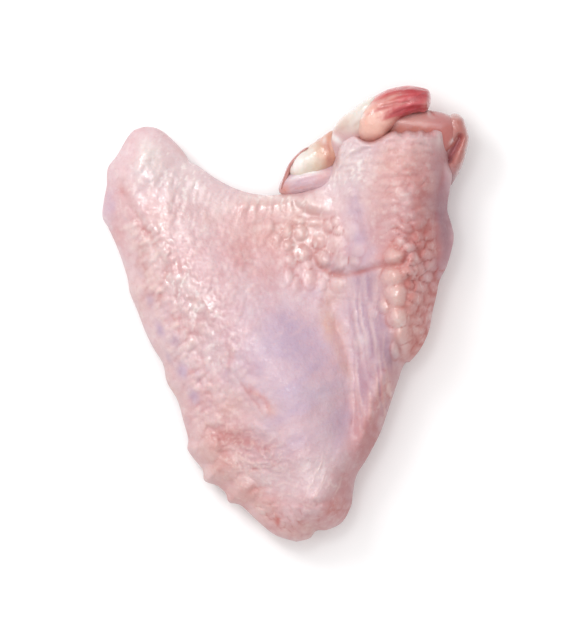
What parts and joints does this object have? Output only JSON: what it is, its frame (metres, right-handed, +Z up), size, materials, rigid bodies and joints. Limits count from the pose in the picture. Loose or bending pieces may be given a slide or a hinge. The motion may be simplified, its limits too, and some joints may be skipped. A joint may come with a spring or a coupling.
{
  "type": "raw turkey wing",
  "caption": "Raw turkey wing of forearm and upper arm joined by a web of skin, cut at the shoulder with muscle and gristle showing.",
  "frame": {"origin": "middle of the wing's footprint, on the surface it lies on", "axes": "+Z up out of the side shown, +Y from the elbow to the shoulder end, +X from the wrist side to the upper arm side"},
  "size_m": [0.1535, 0.1907, 0.0447],
  "materials": {
    "skin": "moist thin poultry skin, pale pink with lilac and peach patches, soft gloss",
    "red_meat": "wet red muscle with fine fibres",
    "pale_meat": "wet pale pink muscle, smooth",
    "lilac_meat": "wet lilac pink muscle with fine fibres",
    "gristle": "ivory gristle, glossy",
    "sheath": "whitish see-through tissue over muscle, glossy",
    "capsule": "thin brownish red membrane edge"
  },
  "bodies": {
    "root": {"wing_skin": "skin", "red_muscle": "red_meat", "pale_muscle": "pale_meat", "flank_flap": "pale_meat", "lower_slip": "lilac_meat", "shoulder_gristle": "gristle", "shoulder_sheath": "sheath", "joint_capsule": "capsule"}
  },
  "joints": []
}
